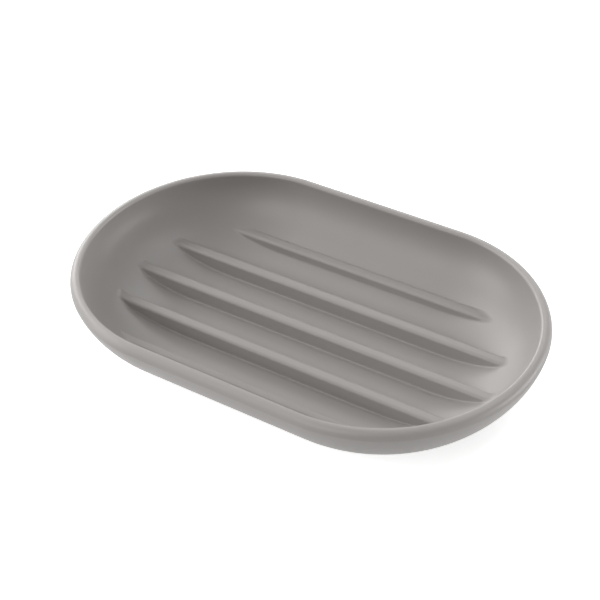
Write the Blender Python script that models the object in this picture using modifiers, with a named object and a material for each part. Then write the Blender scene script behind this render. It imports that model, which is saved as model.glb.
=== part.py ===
"""Soap dish: a shallow long bowl with soap ribs, on four soft foot pads.

The bowl has a stadium plan, two straight sides and two round ends. Its wall
bellies out under a thick rounded rim and turns in to a flat base. Five ribs
run the length of the floor and die out in the rising wall, and they are
moulded in one with the bowl. The pads sit in round recesses in the base.

Metres, +Z up. The origin is on the table, under the middle of the dish.
"""
import math

import bmesh
import bpy

# The whole dish
LENGTH = 0.1397
WIDTH = 0.0889
HEIGHT = 0.0220

# Rim: a rounded lip with its crest near the bowl and a wider round outside
RIM_WIDTH = 0.00305
RIM_INNER_RADIUS = 0.0009
SHOULDER_DROP = 0.0022

# Wall: the belly outside, which leaves the rim at an angle, and the bowl inside
BASE_HALF_WIDTH = 0.0215
BELLY_SQUARENESS = 1.85
BELLY_TUCK = math.radians(12)
FLOOR_HALF_WIDTH = 0.0150
BOWL_SQUARENESS = 2.0
FLOOR_THICKNESS = 0.0025

# Ribs, which hold the bar of soap clear of the floor
RIB_COUNT = 5
RIB_WIDTH = 0.0034
RIB_HEIGHT = 0.0047
RIB_EDGE_RADIUS = 0.0010
RIB_DRAFT = math.radians(2)
RIB_SIDE_GAP = 0.0025

# Foot pads, each glued in a round recess in the base
PAD_DIAMETER = 0.0090
PAD_STANDOFF = 0.0008
PAD_EDGE_RADIUS = 0.00025
PAD_ANGLE = math.radians(50)
RECESS_DEPTH = 0.0006
RECESS_INSET = 0.0005
PAD_CLEARANCE = 0.0003

# Facets
END_STEPS = 40
BELLY_STEPS = 10
SHOULDER_STEPS = 6
EDGE_STEPS = 4
BOWL_STEPS = 14
PAD_STEPS = 40
SMOOTH_ANGLE = math.radians(35)
CORNER_ANGLE = math.radians(60)
MERGE_DISTANCE = 0.00001

# A rounded edge takes at most this share of the room it is cut in
ROUNDING_SHARE = 0.9

# Places that follow from the sizes above
HALF_WIDTH = WIDTH / 2
END_CENTRE_X = (LENGTH - WIDTH) / 2
BASE_Z = PAD_STANDOFF
FLOOR_Z = BASE_Z + FLOOR_THICKNESS
RIB_TOP_Z = FLOOR_Z + RIB_HEIGHT
SHOULDER_Z = HEIGHT - SHOULDER_DROP
BOWL_TOP_Z = HEIGHT - RIM_INNER_RADIUS
BOWL_TOP_HALF_WIDTH = HALF_WIDTH - RIM_WIDTH
CREST_HALF_WIDTH = BOWL_TOP_HALF_WIDTH + RIM_INNER_RADIUS
RECESS_RADIUS = PAD_DIAMETER / 2 + PAD_CLEARANCE


def clear_scene():
    """Remove every object, so that the dish stands alone."""
    for obj in list(bpy.data.objects):
        bpy.data.objects.remove(obj, do_unlink=True)


def new_collection(name):
    """An empty collection of this name, linked to the scene."""
    collection = bpy.data.collections.new(name)
    bpy.context.scene.collection.children.link(collection)
    return collection


def plain_material(name, colour, roughness):
    """A Principled material of one colour, not metallic."""
    material = bpy.data.materials.new(name)
    material.use_nodes = True
    shader = material.node_tree.nodes["Principled BSDF"]
    shader.inputs["Base Color"].default_value = (*colour, 1.0)
    shader.inputs["Roughness"].default_value = roughness
    shader.inputs["Metallic"].default_value = 0.0
    return material


def object_from_bmesh(bm, name, collection):
    """Put a bmesh into a new smooth-shaded object, and free the bmesh."""
    mesh = bpy.data.meshes.new(name)
    bm.to_mesh(mesh)
    bm.free()
    mesh.shade_smooth()
    mesh.set_sharp_from_angle(angle=SMOOTH_ANGLE)
    obj = bpy.data.objects.new(name, mesh)
    collection.objects.link(obj)
    return obj


def hide_as_tool(obj):
    """Mark an object as a shape that only cuts or joins another."""
    obj.display_type = "WIRE"
    obj.hide_render = True


def add_boolean(obj, operation, tools):
    """Cut or join obj with every object of a collection."""
    boolean = obj.modifiers.new(operation.lower(), "BOOLEAN")
    boolean.operation = operation
    boolean.solver = "EXACT"
    boolean.operand_type = "COLLECTION"
    boolean.collection = tools


def quarter_curve(level_end, upright_end, squareness, steps):
    """A quarter of a superellipse, level at its first end and upright at its last.

    Both ends are (half width, height) points of the cross-section. Squareness
    2 is an ellipse, and less is flatter between the ends.
    """
    x0, z0 = level_end
    x1, z1 = upright_end
    power = 2 / squareness
    points = []
    for step in range(steps + 1):
        angle = math.pi / 2 * step / steps
        x = x0 + (x1 - x0) * math.sin(angle) ** power
        z = z1 + (z0 - z1) * math.cos(angle) ** power
        points.append((x, z))
    return points


def bowl_half_width(z):
    """Half width of the hollow of the bowl at height z above the floor."""
    rise = (BOWL_TOP_Z - z) / (BOWL_TOP_Z - FLOOR_Z)
    reach = (1 - rise ** BOWL_SQUARENESS) ** (1 / BOWL_SQUARENESS)
    return FLOOR_HALF_WIDTH + (BOWL_TOP_HALF_WIDTH - FLOOR_HALF_WIDTH) * reach


def belly_curve():
    """The outside of the wall, from the base up to the rim.

    A quarter curve is leaned in below the shoulder by the tuck, so that it
    meets the round of the rim in a fine edge.
    """
    lean = math.tan(BELLY_TUCK)
    base_edge = (BASE_HALF_WIDTH + lean * (SHOULDER_Z - BASE_Z), BASE_Z)
    shoulder = (HALF_WIDTH, SHOULDER_Z)
    upright = quarter_curve(base_edge, shoulder, BELLY_SQUARENESS, BELLY_STEPS)
    return [(x - lean * (SHOULDER_Z - z), z) for x, z in upright]


def dish_profile():
    """Half of the dish's cross-section, from the base up round the rim to the floor."""
    shoulder = (HALF_WIDTH, SHOULDER_Z)
    crest = (CREST_HALF_WIDTH, HEIGHT)
    bowl_top = (BOWL_TOP_HALF_WIDTH, BOWL_TOP_Z)
    floor_edge = (FLOOR_HALF_WIDTH, FLOOR_Z)
    outer_lip = quarter_curve(crest, shoulder, 2, SHOULDER_STEPS)
    inner_lip = quarter_curve(crest, bowl_top, 2, EDGE_STEPS)
    bowl = quarter_curve(floor_edge, bowl_top, BOWL_SQUARENESS, BOWL_STEPS)
    points = [(0, BASE_Z)]
    points += belly_curve()
    points += outer_lip[::-1][1:]
    points += inner_lip[1:]
    points += bowl[::-1][1:]
    points.append((0, FLOOR_Z))
    return points


def wall_core_profile():
    """Half cross-section of the hollow, grown halfway into the wall and floor."""
    core_floor_z = FLOOR_Z - FLOOR_THICKNESS / 2
    core_top_half_width = HALF_WIDTH - RIM_WIDTH / 2
    floor_edge = (FLOOR_HALF_WIDTH, core_floor_z)
    top_edge = (core_top_half_width, SHOULDER_Z)
    wall = quarter_curve(floor_edge, top_edge, BOWL_SQUARENESS, BOWL_STEPS)
    return [(0, core_floor_z)] + wall + [(0, SHOULDER_Z)]


def add_stadium_body(name, profile, collection):
    """Carry a half cross-section round the stadium plan.

    The profile is spun half a turn round the centre of one end, its two open
    edges are drawn back to the middle plane, and a mirror makes the other half.
    """
    bm = bmesh.new()
    verts = [bm.verts.new((END_CENTRE_X, -x, z)) for x, z in profile]
    edges = [bm.edges.new(pair) for pair in zip(verts, verts[1:])]
    bmesh.ops.spin(
        bm,
        geom=verts + edges,
        cent=(END_CENTRE_X, 0, 0),
        axis=(0, 0, 1),
        angle=math.pi,
        steps=END_STEPS,
    )
    bmesh.ops.remove_doubles(bm, verts=bm.verts, dist=MERGE_DISTANCE)
    open_edges = [edge for edge in bm.edges if edge.is_boundary]
    drawn = bmesh.ops.extrude_edge_only(bm, edges=open_edges)["geom"]
    drawn_verts = [item for item in drawn if isinstance(item, bmesh.types.BMVert)]
    bmesh.ops.translate(bm, verts=drawn_verts, vec=(-END_CENTRE_X, 0, 0))
    bmesh.ops.recalc_face_normals(bm, faces=bm.faces)
    obj = object_from_bmesh(bm, name, collection)
    mirror = obj.modifiers.new("other half", "MIRROR")
    mirror.use_axis = (True, False, False)
    mirror.merge_threshold = MERGE_DISTANCE
    return obj


def rib_rows():
    """The Y of each rib, spread evenly between the side walls at the rib tops."""
    reach = bowl_half_width(RIB_TOP_Z) - RIB_SIDE_GAP - RIB_WIDTH / 2
    pitch = 2 * reach / (RIB_COUNT - 1)
    return [pitch * row - reach for row in range(RIB_COUNT)]


def add_rib(index, y, tools, core_tools):
    """One rib: a long bar with a rounded top and drafted sides.

    It is trimmed by the core, so that its ends and its root lie inside the wall.
    """
    bar_height = RIB_TOP_Z - BASE_Z
    root_spread = bar_height * math.tan(RIB_DRAFT)
    bm = bmesh.new()
    bmesh.ops.create_cube(bm, size=1)
    bmesh.ops.scale(bm, verts=bm.verts, vec=(LENGTH, RIB_WIDTH, bar_height))
    top_verts = {vert for vert in bm.verts if vert.co.z > 0}
    for vert in set(bm.verts) - top_verts:
        vert.co.y += math.copysign(root_spread, vert.co.y)
    long_top_edges = [
        edge
        for edge in bm.edges
        if top_verts.issuperset(edge.verts) and edge.calc_length() > RIB_WIDTH * 2
    ]
    bmesh.ops.bevel(
        bm,
        geom=long_top_edges,
        offset=min(RIB_EDGE_RADIUS, ROUNDING_SHARE * RIB_WIDTH / 2),
        offset_type="OFFSET",
        segments=EDGE_STEPS,
        profile=0.5,
        affect="EDGES",
    )
    bmesh.ops.translate(bm, verts=bm.verts, vec=(0, y, BASE_Z + bar_height / 2))
    rib = object_from_bmesh(bm, f"rib_blank_{index}", tools)
    hide_as_tool(rib)
    add_boolean(rib, "INTERSECT", core_tools)


def pad_places():
    """The middle of each foot pad: one in each quarter of the base, in its round end."""
    reach = BASE_HALF_WIDTH - RECESS_INSET - RECESS_RADIUS
    x = END_CENTRE_X + reach * math.cos(PAD_ANGLE)
    y = reach * math.sin(PAD_ANGLE)
    return [(-x, -y), (x, -y), (x, y), (-x, y)]


def add_disc(name, collection, radius, bottom, top, place):
    """An upright cylinder from one height to another."""
    bm = bmesh.new()
    bmesh.ops.create_cone(
        bm,
        cap_ends=True,
        segments=PAD_STEPS,
        radius1=radius,
        radius2=radius,
        depth=top - bottom,
    )
    bmesh.ops.translate(bm, verts=bm.verts, vec=(*place, (top + bottom) / 2))
    return object_from_bmesh(bm, name, collection)


def add_dish(collection, plastic):
    """The moulded bowl with its ribs and the recesses for its pads."""
    core_tools = new_collection("wall_core")
    rib_tools = new_collection("rib_blanks")
    recess_tools = new_collection("recess_cutters")
    hide_as_tool(add_stadium_body("hollow_to_mid_wall", wall_core_profile(), core_tools))
    for index, y in enumerate(rib_rows(), start=1):
        add_rib(index, y, rib_tools, core_tools)
    for index, place in enumerate(pad_places(), start=1):
        cutter = add_disc(
            f"recess_cutter_{index}",
            recess_tools,
            RECESS_RADIUS,
            0,
            BASE_Z + RECESS_DEPTH,
            place,
        )
        hide_as_tool(cutter)
    dish = add_stadium_body("dish_body", dish_profile(), collection)
    dish.data.materials.append(plastic)
    add_boolean(dish, "UNION", rib_tools)
    add_boolean(dish, "DIFFERENCE", recess_tools)


def add_pads(collection, rubber):
    """The foot pads, each a disc with rounded edges."""
    top = BASE_Z + RECESS_DEPTH - PAD_CLEARANCE
    for index, place in enumerate(pad_places(), start=1):
        pad = add_disc(f"foot_pad_{index}", collection, PAD_DIAMETER / 2, 0, top, place)
        pad.data.materials.append(rubber)
        bevel = pad.modifiers.new("rounded edges", "BEVEL")
        bevel.width = min(PAD_EDGE_RADIUS, ROUNDING_SHARE * top / 2)
        bevel.segments = 2
        bevel.limit_method = "ANGLE"
        bevel.angle_limit = CORNER_ANGLE


def build():
    clear_scene()
    soap_dish = new_collection("soap_dish")
    plastic = plain_material("matte_grey_plastic", (0.36, 0.342, 0.324), 0.55)
    rubber = plain_material("dark_grey_rubber", (0.045, 0.045, 0.045), 0.8)
    add_dish(soap_dish, plastic)
    add_pads(soap_dish, rubber)


build()
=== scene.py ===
"""The soap dish as it looks: its fine surfaces, its finishes, and the table and light round it.

Metres, +Z up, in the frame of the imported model. The script runs from top to bottom, one
section for each piece, in the order in which the dish is put together.
"""
import math

import bmesh
import bpy
import numpy as np
from mathutils import Matrix, Vector


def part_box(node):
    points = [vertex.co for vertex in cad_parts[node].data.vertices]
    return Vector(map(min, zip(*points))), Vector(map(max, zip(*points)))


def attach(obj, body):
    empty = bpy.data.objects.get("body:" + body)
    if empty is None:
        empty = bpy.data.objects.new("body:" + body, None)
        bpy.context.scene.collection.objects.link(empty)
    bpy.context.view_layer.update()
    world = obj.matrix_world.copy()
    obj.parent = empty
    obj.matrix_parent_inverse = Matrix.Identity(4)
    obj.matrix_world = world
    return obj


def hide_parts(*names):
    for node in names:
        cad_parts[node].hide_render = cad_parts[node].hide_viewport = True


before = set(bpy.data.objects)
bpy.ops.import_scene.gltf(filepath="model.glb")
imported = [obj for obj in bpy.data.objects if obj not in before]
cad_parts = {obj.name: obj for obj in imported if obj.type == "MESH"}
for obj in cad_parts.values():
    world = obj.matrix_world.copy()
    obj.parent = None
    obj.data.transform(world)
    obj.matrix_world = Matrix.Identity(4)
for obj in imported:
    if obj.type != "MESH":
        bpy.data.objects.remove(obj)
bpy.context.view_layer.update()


# The dish: one moulding of warm grey plastic with a fine matte grain. A bellied wall ends
# in a thick rounded rim, and five ribs stand on the floor and die out in the rising wall.
# Four shallow round recesses in the flat base take the foot pads.

MM = 0.001

# The centres of the two round ends lie at END_X on either side of the middle
dish_low, dish_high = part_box("dish_body")
END_X = dish_high.x - dish_high.y
HALF_WIDTH = dish_high.y
CREST_Z = dish_high.z
BASE_Z = dish_low.z

RIM_WIDTH = 3.05 * MM
RIM_INNER_RADIUS = 0.9 * MM
SHOULDER_DROP = 2.2 * MM
BASE_HALF_WIDTH = 21.5 * MM
BELLY_SQUARENESS = 1.85
BELLY_TUCK = math.radians(12)
FLOOR_HALF_WIDTH = 15.0 * MM
FLOOR_Z = BASE_Z + 2.5 * MM
BOWL_TOP_Z = CREST_Z - RIM_INNER_RADIUS
BOWL_TOP_HALF_WIDTH = HALF_WIDTH - RIM_WIDTH
BOWL_DEPTH = BOWL_TOP_Z - FLOOR_Z
BOWL_REACH = BOWL_TOP_HALF_WIDTH - FLOOR_HALF_WIDTH
CREST_HALF_WIDTH = BOWL_TOP_HALF_WIDTH + RIM_INNER_RADIUS
ELLIPSE_SQUARENESS = 2

RIB_COUNT = 5
RIB_TOP_Z = FLOOR_Z + 4.7 * MM
RIB_HALF_WIDTH = 1.7 * MM
RIB_EDGE_RADIUS = 1.0 * MM
RIB_DRAFT = math.tan(math.radians(2))
RIB_SIDE_GAP = 2.5 * MM
RIB_ROOT_RADIUS = 0.5 * MM

# The ribs lie inside this distance from the line between the centres of the round ends
RIBBED_HALF_WIDTH = 36.0 * MM

PAD_RADIUS = 4.5 * MM
RECESS_RADIUS = 4.8 * MM
RECESS_TOP_Z = BASE_Z + 0.6 * MM
RECESS_EDGE_RADIUS = 0.12 * MM
pad_low, pad_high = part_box("foot_pad_3")
PAD_X = (pad_low.x + pad_high.x) / 2
PAD_Y = (pad_low.y + pad_high.y) / 2


def quarter_curve(level_end, upright_end, squareness, turned):
    """A quarter of a superellipse, level at its first end and upright at its last.

    Both ends are (half width, height). The half width goes with the sine and the height
    with the cosine of an angle, each to the power 2 / squareness. Turned is the shares of
    the quarter turn at which the points lie.
    """
    angle = turned * math.pi / 2
    power = 2 / squareness
    half_width = level_end[0] + (upright_end[0] - level_end[0]) * np.sin(angle) ** power
    height = upright_end[1] + (level_end[1] - upright_end[1]) * np.cos(angle) ** power
    return np.stack([half_width, height], 1)


def bowl_share(x, y):
    """How far up the bowl's curve a point of the plan is: 0 on the level floor, 1 at the lip."""
    distance = np.hypot(np.maximum(np.abs(x) - END_X, 0), y)
    return np.clip((distance - FLOOR_HALF_WIDTH) / BOWL_REACH, 0, 1)


def bowl_height(share):
    """Height of the bowl without its ribs: a quarter of an ellipse over that share."""
    return BOWL_TOP_Z - BOWL_DEPTH * np.sqrt(1 - share ** 2)


def rib_rows():
    """The Y of each rib, spread evenly between the side walls at the height of their tops."""
    rise = (BOWL_TOP_Z - RIB_TOP_Z) / BOWL_DEPTH
    wall = FLOOR_HALF_WIDTH + BOWL_REACH * math.sqrt(1 - rise ** 2)
    reach = wall - RIB_SIDE_GAP - RIB_HALF_WIDTH
    return np.linspace(-reach, reach, RIB_COUNT)


HEIGHT_HALVINGS = 34


def ribbed_height(x, y):
    """Height of the hollow and its ribs over the plan.

    Above the bowl the distance grows with height times the cosine of its slope. A rib is a
    bar with drafted sides and round top edges. The two distances are joined by a fillet,
    and the height where the joined distance is nought is found by halving a span.
    """
    share = bowl_share(x, y)
    bowl = bowl_height(share)
    slope = BOWL_DEPTH / BOWL_REACH * share / np.sqrt(1 - share ** 2)
    slope_cosine = 1 / np.sqrt(1 + slope ** 2)
    aside = np.abs(y[..., None] - rib_rows()).min(-1)
    low = bowl - RIB_ROOT_RADIUS
    high = np.maximum(bowl, RIB_TOP_Z) + 2 * RIB_ROOT_RADIUS
    for _ in range(HEIGHT_HALVINGS):
        height = (low + high) / 2
        side = aside - RIB_HALF_WIDTH - (RIB_TOP_Z - height) * RIB_DRAFT + RIB_EDGE_RADIUS
        top = height - RIB_TOP_Z + RIB_EDGE_RADIUS
        corner = np.hypot(np.maximum(side, 0), np.maximum(top, 0))
        rib = np.minimum(np.maximum(side, top), 0) + corner - RIB_EDGE_RADIUS
        floor = (height - bowl) * slope_cosine
        room = np.hypot(
            np.maximum(RIB_ROOT_RADIUS - rib, 0), np.maximum(RIB_ROOT_RADIUS - floor, 0)
        )
        joined = np.maximum(np.minimum(rib, floor), RIB_ROOT_RADIUS) - room
        low = np.where(joined < 0, height, low)
        high = np.where(joined < 0, high, height)
    return (low + high) / 2


RIB_TOP_POINTS = 3
RIB_ROUND_POINTS = 8
RIB_GAP_POINTS = 13
OUTER_POINTS = 16


def mesh_rows():
    """The Y of each row of the hollow: close over the round edges and roots of the ribs.

    The rows beyond the outermost ribs lie at even turns round the end.
    """
    turn = np.linspace(0, math.pi / 2, RIB_ROUND_POINTS)
    edge = RIB_HALF_WIDTH - RIB_EDGE_RADIUS + RIB_EDGE_RADIUS * np.sin(turn)
    side = RIB_HALF_WIDTH + (RIB_TOP_Z - FLOOR_Z - RIB_ROOT_RADIUS) * RIB_DRAFT
    root = side + RIB_ROOT_RADIUS * (1 - np.cos(turn))
    top = np.linspace(0, edge[0], RIB_TOP_POINTS)[:-1]
    across = np.concatenate([top, edge, root])
    ribs = rib_rows()
    near_ribs = (ribs[:, None] + np.concatenate([-across[::-1], across[1:]])).ravel()
    gap = ribs[1] - ribs[0] - 2 * across[-1]
    between = ribs[:-1, None] + across[-1] + gap * np.linspace(0, 1, RIB_GAP_POINTS)[1:-1]
    outermost = math.asin((ribs[-1] + across[-1]) / RIBBED_HALF_WIDTH)
    outer_turns = np.linspace(outermost, math.pi / 2, OUTER_POINTS)[1:]
    beyond = RIBBED_HALF_WIDTH * np.sin(outer_turns)
    return np.sort(np.concatenate([-beyond, near_ribs, between.ravel(), beyond]))


RIB_ENDS_FROM = 0.8
RIB_END_POINTS = 41
RIB_MIDDLE_POINTS = 49


def mesh_columns():
    """The columns of the hollow, as shares of each row's reach: close where the ribs end."""
    ends = np.linspace(RIB_ENDS_FROM, 1, RIB_END_POINTS)
    middle = np.linspace(-RIB_ENDS_FROM, RIB_ENDS_FROM, RIB_MIDDLE_POINTS)[1:-1]
    return np.concatenate([-ends[::-1], middle, ends])


def stadium_path(rows, columns):
    """The way round the plan, one point for each edge point of the hollow's grid.

    Each point is its centre on the line between the round ends, and the way outwards.
    """
    turn = np.arcsin(np.clip(rows / RIBBED_HALF_WIDTH, -1, 1))
    side = columns[1:-1] * END_X
    centre = np.concatenate([
        np.full(turn.size, END_X), side[::-1], np.full(turn.size, -END_X), side
    ])
    along = np.concatenate([np.cos(turn), 0 * side, -np.cos(turn), 0 * side])
    across = np.concatenate([np.sin(turn), 0 * side + 1, np.sin(turn[::-1]), 0 * side - 1])
    return centre, along, across


def grid_quads(rows, columns, first, closed):
    """The vertex numbers of the quads of a grid, its columns joined round if closed."""
    numbers = first + np.arange(rows * columns).reshape(rows, columns)
    if closed:
        numbers = np.concatenate([numbers, numbers[:, :1]], 1)
    corners = [numbers[:-1, :-1], numbers[:-1, 1:], numbers[1:, 1:], numbers[1:, :-1]]
    return np.stack(corners, -1).reshape(-1, 4)


WELD_DISTANCE = 0.002 * MM
CREASE_ANGLE = math.radians(50)


def joined_mesh(name, patches):
    """A mesh of several grids of points, welded where they meet, its faces turned outwards.

    Each patch is an array (rows, columns, 3) and says whether its columns close on
    themselves.
    """
    points, quads, first = [], [], 0
    for patch, closed in patches:
        rows, columns = patch.shape[:2]
        points.append(patch.reshape(-1, 3))
        quads.append(grid_quads(rows, columns, first, closed))
        first += rows * columns
    mesh = bpy.data.meshes.new(name)
    mesh.from_pydata(np.concatenate(points).tolist(), [], np.concatenate(quads).tolist())
    shell = bmesh.new()
    shell.from_mesh(mesh)
    bmesh.ops.remove_doubles(shell, verts=shell.verts, dist=WELD_DISTANCE)
    bmesh.ops.recalc_face_normals(shell, faces=shell.faces)
    shell.to_mesh(mesh)
    shell.free()
    mesh.shade_smooth()
    mesh.set_sharp_from_angle(angle=CREASE_ANGLE)
    piece = bpy.data.objects.new(name, mesh)
    bpy.context.scene.collection.objects.link(piece)
    return piece


# The shares of their quarter turns at which the last point of the rim's round and the first
# of the belly lie, close above and below the fine edge between them
LAST_RIM_TURN = 0.97
FIRST_BELLY_TURN = 0.993
BELLY_POINTS = 29


def belly_curve(shoulder):
    """The outside of the wall, from just under the rim down to the base.

    A quarter curve leans in below the shoulder by the tuck, so that it meets the round of
    the rim in a fine edge.
    """
    lean = math.tan(BELLY_TUCK)
    base_edge = (BASE_HALF_WIDTH + lean * (shoulder[1] - BASE_Z), BASE_Z)
    turns = np.append([FIRST_BELLY_TURN], np.linspace(1, 0, BELLY_POINTS)[1:])
    curve = quarter_curve(base_edge, shoulder, BELLY_SQUARENESS, turns)
    curve[:, 0] -= lean * (shoulder[1] - curve[:, 1])
    return curve


BOWL_POINTS = 91
BOWL_CLEARANCE = 0.05 * MM
INNER_LIP_POINTS = 9
OUTER_LIP_POINTS = 15


def wall_profile():
    """Half cross-section from the edge of the ribbed hollow up over the rim and down to the base.

    It is a chain of quarter curves: the upper part of the bowl, with every second of its
    points, the inner and the outer round of the lip, and the belly.
    """
    edge_z = bowl_height((RIBBED_HALF_WIDTH - FLOOR_HALF_WIDTH) / BOWL_REACH)
    floor_edge = (FLOOR_HALF_WIDTH, FLOOR_Z)
    bowl_top = (BOWL_TOP_HALF_WIDTH, BOWL_TOP_Z)
    crest = (CREST_HALF_WIDTH, CREST_Z)
    shoulder = (HALF_WIDTH, CREST_Z - SHOULDER_DROP)
    bowl_turns = np.linspace(0, 1, BOWL_POINTS)
    inner_turns = np.linspace(1, 0, INNER_LIP_POINTS)
    outer_turns = np.append(np.linspace(0, 1, OUTER_LIP_POINTS)[1:-1], [LAST_RIM_TURN, 1])
    bowl = quarter_curve(floor_edge, bowl_top, ELLIPSE_SQUARENESS, bowl_turns)
    bowl = bowl[bowl[:, 0] > RIBBED_HALF_WIDTH + BOWL_CLEARANCE][::2]
    inner_lip = quarter_curve(crest, bowl_top, ELLIPSE_SQUARENESS, inner_turns)
    outer_lip = quarter_curve(crest, shoulder, ELLIPSE_SQUARENESS, outer_turns)
    return np.concatenate(
        [[(RIBBED_HALF_WIDTH, edge_z)], bowl, inner_lip, outer_lip, belly_curve(shoulder)]
    )


BASE_ACROSS_POINTS = 15
BASE_ALONG_POINTS = 36
BASE_FLAT_POINTS = 5
RECESS_ROUND_POINTS = 4
RECESS_WALL_ROW = 0.1 * MM
RECESS_ROOF_SHARES = np.array([0.98, 0.5, 0])


def base_patches(rows, columns):
    """The flat base in four quarters, each drawn in to the round recess for its pad.

    A quarter's outline runs along the side and the round end and back over the two middle
    lines. Each point of it is drawn straight towards the middle of the recess, up the wall
    of the recess and over its roof.
    """
    turn = np.arcsin(np.clip(rows[rows >= 0] / RIBBED_HALF_WIDTH, 0, 1))
    side = columns[columns >= 0] * END_X
    across = np.linspace(BASE_HALF_WIDTH, 0, BASE_ACROSS_POINTS)[1:]
    along = np.linspace(0, END_X + BASE_HALF_WIDTH, BASE_ALONG_POINTS)[1:-1]
    outline = np.concatenate([
        np.stack([END_X + BASE_HALF_WIDTH * np.cos(turn), BASE_HALF_WIDTH * np.sin(turn)], 1),
        np.stack([side, np.full(side.size, BASE_HALF_WIDTH)], 1)[::-1][1:],
        np.stack([0 * across, across], 1),
        np.stack([along, 0 * along], 1),
    ])
    middle = np.array([PAD_X, PAD_Y])
    away = outline - middle
    distance = np.hypot(away[:, 0], away[:, 1])
    away = away / distance[:, None]
    edge = np.linspace(0, math.pi / 2, RECESS_ROUND_POINTS)
    mouth = RECESS_RADIUS + RECESS_EDGE_RADIUS * (1 - np.sin(edge))
    mouth_z = BASE_Z + RECESS_EDGE_RADIUS * (1 - np.cos(edge))
    roof = RECESS_RADIUS * RECESS_ROOF_SHARES
    roof_z = np.full(roof.size, RECESS_TOP_Z)
    radius = np.concatenate([mouth, [RECESS_RADIUS], roof])
    height = np.concatenate([mouth_z, [RECESS_TOP_Z - RECESS_WALL_ROW], roof_z])
    shares = np.linspace(1, 0, BASE_FLAT_POINTS)[:-1, None]
    flat = mouth[0] + (distance - mouth[0]) * shares
    inner = np.broadcast_to(radius[:, None], (radius.size, distance.size))
    reaches = np.concatenate([flat, inner])
    heights = np.concatenate([np.full(shares.size, BASE_Z), height])[:, None]
    x = middle[0] + away[:, 0] * reaches
    y = middle[1] + away[:, 1] * reaches
    z = np.broadcast_to(heights, x.shape)
    return [
        (np.stack([x * x_side, y * y_side, z], -1), True)
        for x_side, y_side in ((1, 1), (-1, 1), (-1, -1), (1, -1))
    ]


def dish_patches():
    """The hollow with its ribs, the wall and rim, and the base.

    The hollow is a height over a grid: a row for each Y, as long as the ribbed stadium is
    there. The wall is a profile carried round the plan, from the centres outwards.
    """
    rows = mesh_rows()
    columns = mesh_columns()
    row_reach = END_X + np.sqrt(np.maximum(RIBBED_HALF_WIDTH ** 2 - rows ** 2, 0))
    x = columns * row_reach[:, None]
    y = np.broadcast_to(rows[:, None], x.shape)
    hollow = np.stack([x, y, ribbed_height(x, y)], -1)

    profile = wall_profile()
    centre, along, across = stadium_path(rows, columns)
    out = profile[:, :1]
    ring_x = centre + along * out
    ring_y = across * out
    ring_z = np.broadcast_to(profile[:, 1:], ring_x.shape)
    wall = np.stack([ring_x, ring_y, ring_z], -1)
    return [(hollow, False), (wall, True)] + base_patches(rows, columns)


class Wire:
    """A socket in a node tree. Sums, differences and products of wires add Math nodes."""

    def __init__(self, tree, socket=None):
        self.tree = tree
        self.socket = socket

    def node(self, kind, settings=None, inputs=None, output=0):
        """A node of this type: its settings first, then the values or wires of its sockets."""
        node = self.tree.nodes.new(kind)
        for name, value in (settings or {}).items():
            setattr(node, name, value)
        for name, value in (inputs or {}).items():
            if isinstance(value, Wire):
                self.tree.links.new(value.socket, node.inputs[name])
            else:
                node.inputs[name].default_value = value
        return Wire(self.tree, node.outputs[output] if node.outputs else None)

    def math(self, operation, first, second):
        """A Math node of this operation on two wires or numbers."""
        return self.node("ShaderNodeMath", {"operation": operation}, {0: first, 1: second})

    def __add__(self, other):
        return self.math("ADD", self, other)

    def __radd__(self, other):
        return self.math("ADD", other, self)

    def __sub__(self, other):
        return self.math("SUBTRACT", self, other)

    def __rsub__(self, other):
        return self.math("SUBTRACT", other, self)

    def __mul__(self, other):
        return self.math("MULTIPLY", self, other)

    def __rmul__(self, other):
        return self.math("MULTIPLY", other, self)


def new_finish(name):
    """A material with an empty node tree, and a wire to start its nodes from."""
    material = bpy.data.materials.new(name)
    material.use_nodes = True
    material.node_tree.nodes.clear()
    return material, Wire(material.node_tree)


def own_place(wire):
    """The place on the piece, in the piece's own metres."""
    return wire.node("ShaderNodeTexCoord", output="Object")


def noise(wire, place, size, detail):
    """Soft even noise about 0.5, with marks of this size in metres."""
    inputs = {"Vector": place, "Scale": 1 / size, "Detail": detail, "Roughness": 0.55}
    return wire.node("ShaderNodeTexNoise", inputs=inputs)


def tinted(wire, share, dark, light):
    """A colour that goes from dark to light with a share from 0 to 1."""
    first_colour, second_colour, mixed_colour = 6, 7, 2
    colours = {"Factor": share, first_colour: (*dark, 1), second_colour: (*light, 1)}
    return wire.node("ShaderNodeMix", {"data_type": "RGBA"}, colours, output=mixed_colour)


GRAIN_SIZE = 0.28 * MM
GRAIN_DEPTH = 0.03 * MM
CLOUD_SIZE = 22 * MM
# Depth below the crest of the band with a painted highlight, which is also rubbed smoother
CREST_WEAR_AND_HIGHLIGHT_DEPTH = 1.2 * MM
DARK_GREY = (0.334, 0.316, 0.305)
PALE_GREY = (0.386, 0.366, 0.354)


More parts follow.
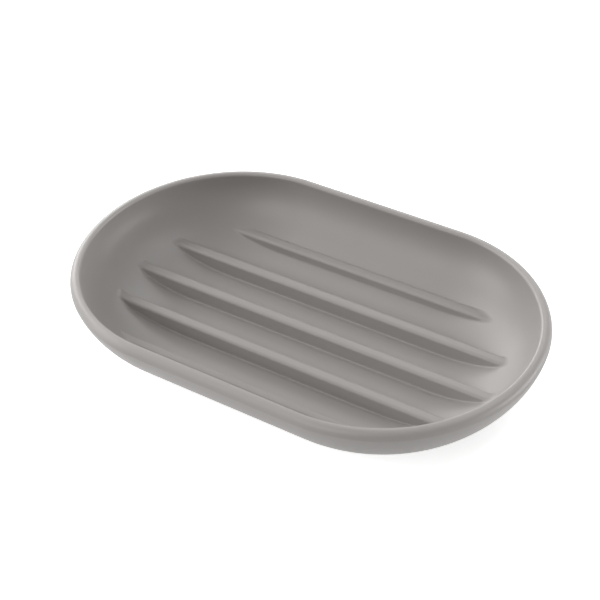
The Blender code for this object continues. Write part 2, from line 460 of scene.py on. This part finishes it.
def dish_plastic():
    """Warm grey plastic: fine spark-eroded grain, faint clouding, and a painted highlight on the
    rim.

    The painted highlight grows smoothly from nothing, a little below the crest, to its top, where
    the plastic is paler; there the rim is also rubbed smoother by hands.
    """
    material, wire = new_finish("matte_grey_plastic")
    place = own_place(wire)
    grain = noise(wire, place, GRAIN_SIZE, 2)
    cloud = noise(wire, place, CLOUD_SIZE, 3)
    height = wire.node("ShaderNodeSeparateXYZ", inputs={"Vector": place}, output="Z")
    # A band at the crest that paints a highlight into the colour and makes the plastic smoother
    crest_wear_and_highlight = wire.node(
        "ShaderNodeMapRange",
        {"interpolation_type": "SMOOTHSTEP"},
        {"Value": height, "From Min": CREST_Z - CREST_WEAR_AND_HIGHLIGHT_DEPTH, "From Max": CREST_Z},
    )
    # Paler at the crest as a painted highlight; the clouding is the plastic's own tone
    colour = tinted(wire, 0.1 + 0.3 * cloud + 0.55 * crest_wear_and_highlight, DARK_GREY, PALE_GREY)
    roughness = 0.34 + 0.06 * cloud + 0.08 * grain - 0.04 * crest_wear_and_highlight
    bump = wire.node(
        "ShaderNodeBump", inputs={"Height": grain, "Strength": 0.35, "Distance": GRAIN_DEPTH}
    )
    shader = wire.node("ShaderNodeBsdfPrincipled", inputs={
        "Base Color": colour, "Roughness": roughness, "Normal": bump, "IOR": 1.49,
    })
    wire.node("ShaderNodeOutputMaterial", inputs={"Surface": shader})
    return material


dish = joined_mesh("soap_dish", dish_patches())
dish.data.materials.append(dish_plastic())
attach(dish, "root")
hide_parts("dish_body")


# The foot pads: four soft discs of dark rubber, one glued in each recess of the base. Each
# has round edges and a shallow hollow in its face, so that it stands on a ring.

PAD_EDGE_RADIUS = 0.28 * MM
PAD_HOLLOW_RADIUS = 2.9 * MM
PAD_HOLLOW_SLOPE = 0.5 * MM
PAD_HOLLOW_DEPTH = 0.14 * MM
PAD_ROUND_POINTS = 7
PAD_STEPS = 96


def pad_profile(top):
    """Half of a pad's cross-section, from the middle of its top out and round to its face.

    Its edges are quarter circles, and the side of the hollow is a smooth step up.
    """
    turn = np.linspace(0, math.pi / 2, PAD_ROUND_POINTS)
    inset = PAD_EDGE_RADIUS * (1 - np.sin(turn))
    drop = PAD_EDGE_RADIUS * (1 - np.cos(turn))
    upper = np.stack([PAD_RADIUS - inset, top - drop], 1)
    lower = np.stack([PAD_RADIUS - inset, drop], 1)[::-1]
    share = np.linspace(0, 1, PAD_ROUND_POINTS)
    step = share * share * (3 - 2 * share)
    face_radius = PAD_HOLLOW_RADIUS - PAD_HOLLOW_SLOPE * share
    face = np.stack([face_radius, PAD_HOLLOW_DEPTH * step], 1)
    return np.concatenate([[(0, top)], upper, lower, face, [(0, PAD_HOLLOW_DEPTH)]])


SKIN_SIZE = 0.2 * MM
SKIN_DEPTH = 0.04 * MM
DUST_SIZE = 2.5 * MM
DARK_RUBBER = (0.036, 0.036, 0.037)
DUSTY_RUBBER = (0.056, 0.055, 0.054)


def pad_rubber():
    """Dark grey rubber with a dull, faintly mottled skin."""
    material, wire = new_finish("dark_rubber")
    place = own_place(wire)
    skin = noise(wire, place, SKIN_SIZE, 3)
    dust = noise(wire, place, DUST_SIZE, 4)
    colour = tinted(wire, dust, DARK_RUBBER, DUSTY_RUBBER)
    roughness = 0.72 + 0.16 * dust
    bump = wire.node(
        "ShaderNodeBump", inputs={"Height": skin, "Strength": 0.5, "Distance": SKIN_DEPTH}
    )
    shader = wire.node("ShaderNodeBsdfPrincipled", inputs={
        "Base Color": colour, "Roughness": roughness, "Normal": bump, "IOR": 1.5,
    })
    wire.node("ShaderNodeOutputMaterial", inputs={"Surface": shader})
    return material


rubber = pad_rubber()
pad_turn = np.linspace(0, 2 * math.pi, PAD_STEPS, endpoint=False)
for number in range(1, 5):
    node = f"foot_pad_{number}"
    low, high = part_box(node)
    profile = pad_profile(high.z)
    pad_x = (low.x + high.x) / 2 + profile[:, :1] * np.cos(pad_turn)
    pad_y = (low.y + high.y) / 2 + profile[:, :1] * np.sin(pad_turn)
    pad_z = np.broadcast_to(profile[:, 1:], pad_x.shape)
    pad = joined_mesh(f"rubber_foot_{number}", [(np.stack([pad_x, pad_y, pad_z], -1), True)])
    pad.data.materials.append(rubber)
    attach(pad, "root")
    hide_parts(node)


# The table: a wide sheet of white paper that the dish stands on. It is seen and mirrored a
# little brighter than it is lit, so that it is plain white and keeps the dish's shadow.

SHEET_REACH = 1.6
SHEET_POINTS = 5
TOOTH_SIZE = 1.5 * MM
DULL_WHITE = (0.86, 0.86, 0.86)
BRIGHT_WHITE = (0.90, 0.90, 0.90)
SEEN_GLOW = 0.7
MIRRORED_GLOW = 0.55


def seen_straight(wire):
    """1 for light that goes straight to the camera, otherwise 0."""
    return wire.node("ShaderNodeLightPath", output="Is Camera Ray")


def seen_mirrored(wire):
    """1 for light that a glossy or a clear surface sends on, otherwise 0."""
    glossy = wire.node("ShaderNodeLightPath", output="Is Glossy Ray")
    clear = wire.node("ShaderNodeLightPath", output="Is Transmission Ray")
    return wire.math("MINIMUM", glossy + clear, 1)


def white_sheet():
    """White paper with a hardly visible tooth. It glows, seen or mirrored, but lights nothing."""
    material, wire = new_finish("white_sheet")
    tooth = noise(wire, own_place(wire), TOOTH_SIZE, 3)
    colour = tinted(wire, tooth, DULL_WHITE, BRIGHT_WHITE)
    paper = wire.node("ShaderNodeBsdfDiffuse", inputs={"Color": colour})
    strength = SEEN_GLOW * seen_straight(wire) + MIRRORED_GLOW * seen_mirrored(wire)
    glow = wire.node("ShaderNodeEmission", inputs={"Strength": strength})
    both = wire.node("ShaderNodeAddShader", inputs={0: paper, 1: glow})
    wire.node("ShaderNodeOutputMaterial", inputs={"Surface": both})
    return material


sheet_line = np.linspace(-SHEET_REACH, SHEET_REACH, SHEET_POINTS)
sheet_x, sheet_y = np.meshgrid(sheet_line, sheet_line)
sheet = joined_mesh("table_top", [(np.stack([sheet_x, sheet_y, 0 * sheet_x], -1), False)])
sheet.data.materials.append(white_sheet())


# The light: a dim white room and seven soft boxes round the dish, low and high. Those behind
# it and at its left light the bowl, and a long low strip at its right lights its outside.

BOX_DISTANCE = 2
ROOM_LIGHT = 0.1


def soft_box(name, azimuth, elevation, width, height, radiance):
    """A soft box that looks at the dish from this azimuth and elevation, in degrees.

    Azimuth 0 is towards -Y and 90 towards +X. Its power is pi times its area times its
    radiance, so that white that it lights all round would be that bright.
    """
    turn, rise = math.radians(azimuth), math.radians(elevation)
    away = Vector((
        math.sin(turn) * math.cos(rise), -math.cos(turn) * math.cos(rise), math.sin(rise)
    ))
    lamp = bpy.data.lights.new(name, "AREA")
    lamp.shape = "RECTANGLE"
    lamp.size = width
    lamp.size_y = height
    lamp.energy = math.pi * width * height * radiance
    lamp_object = bpy.data.objects.new(name, lamp)
    lamp_object.location = away * BOX_DISTANCE
    lamp_object.rotation_euler = away.to_track_quat("Z", "Y").to_euler()
    bpy.context.scene.collection.objects.link(lamp_object)


# Azimuth and elevation, width and height in metres, and radiance of each
soft_box("low_back_box", 240, 17, 1.5, 0.9, 4.2)
soft_box("high_back_box", 190, 40, 0.9, 0.9, 2.3)
soft_box("high_left_box", 270, 42, 1.0, 0.9, 4.4)
soft_box("left_box", 305, 18, 0.9, 1.2, 4.1)
soft_box("low_right_strip", 120, 5, 1.7, 0.3, 13.0)
soft_box("high_right_box", 130, 61, 0.9, 0.9, 3.1)
soft_box("front_box", 352, 40, 0.9, 0.9, 3.3)

room = bpy.data.worlds.new("white_room")
room.use_nodes = True
room.node_tree.nodes.clear()
room_wire = Wire(room.node_tree)
seen = seen_straight(room_wire) + seen_mirrored(room_wire)
backdrop = room_wire.node("ShaderNodeBackground", inputs={
    "Color": (1, 1, 1, 1), "Strength": ROOM_LIGHT + (1 - ROOM_LIGHT) * seen,
})
room_wire.node("ShaderNodeOutputWorld", inputs={"Surface": backdrop})
bpy.context.scene.world = room


# The camera: above the near right of the dish and rolled a few degrees, with a long lens.
# Its place, its turn and its lens follow from the outlines of the rim in the photograph.

CAMERA_PLACE = Vector((0.185157, -0.262536, 0.283679))
CAMERA_AZIMUTH = math.radians(35.3957)
CAMERA_ELEVATION = math.radians(39.6339)
CAMERA_ROLL = math.radians(-3.7691)

camera = bpy.data.cameras.new("camera")
camera.lens = 90.983
camera.sensor_width = 36
camera.clip_start = 0.01
camera_object = bpy.data.objects.new("camera", camera)
back = Vector((
    math.sin(CAMERA_AZIMUTH) * math.cos(CAMERA_ELEVATION),
    -math.cos(CAMERA_AZIMUTH) * math.cos(CAMERA_ELEVATION),
    math.sin(CAMERA_ELEVATION),
))
level = Vector((math.cos(CAMERA_AZIMUTH), math.sin(CAMERA_AZIMUTH), 0))
upright = back.cross(level)
right = math.cos(CAMERA_ROLL) * level + math.sin(CAMERA_ROLL) * upright
up = math.cos(CAMERA_ROLL) * upright - math.sin(CAMERA_ROLL) * level
turned = Matrix((right, up, back)).transposed().to_4x4()
camera_object.matrix_world = Matrix.Translation(CAMERA_PLACE) @ turned
bpy.context.scene.collection.objects.link(camera_object)
bpy.context.scene.camera = camera_object
bpy.context.scene.view_settings.view_transform = "Standard"
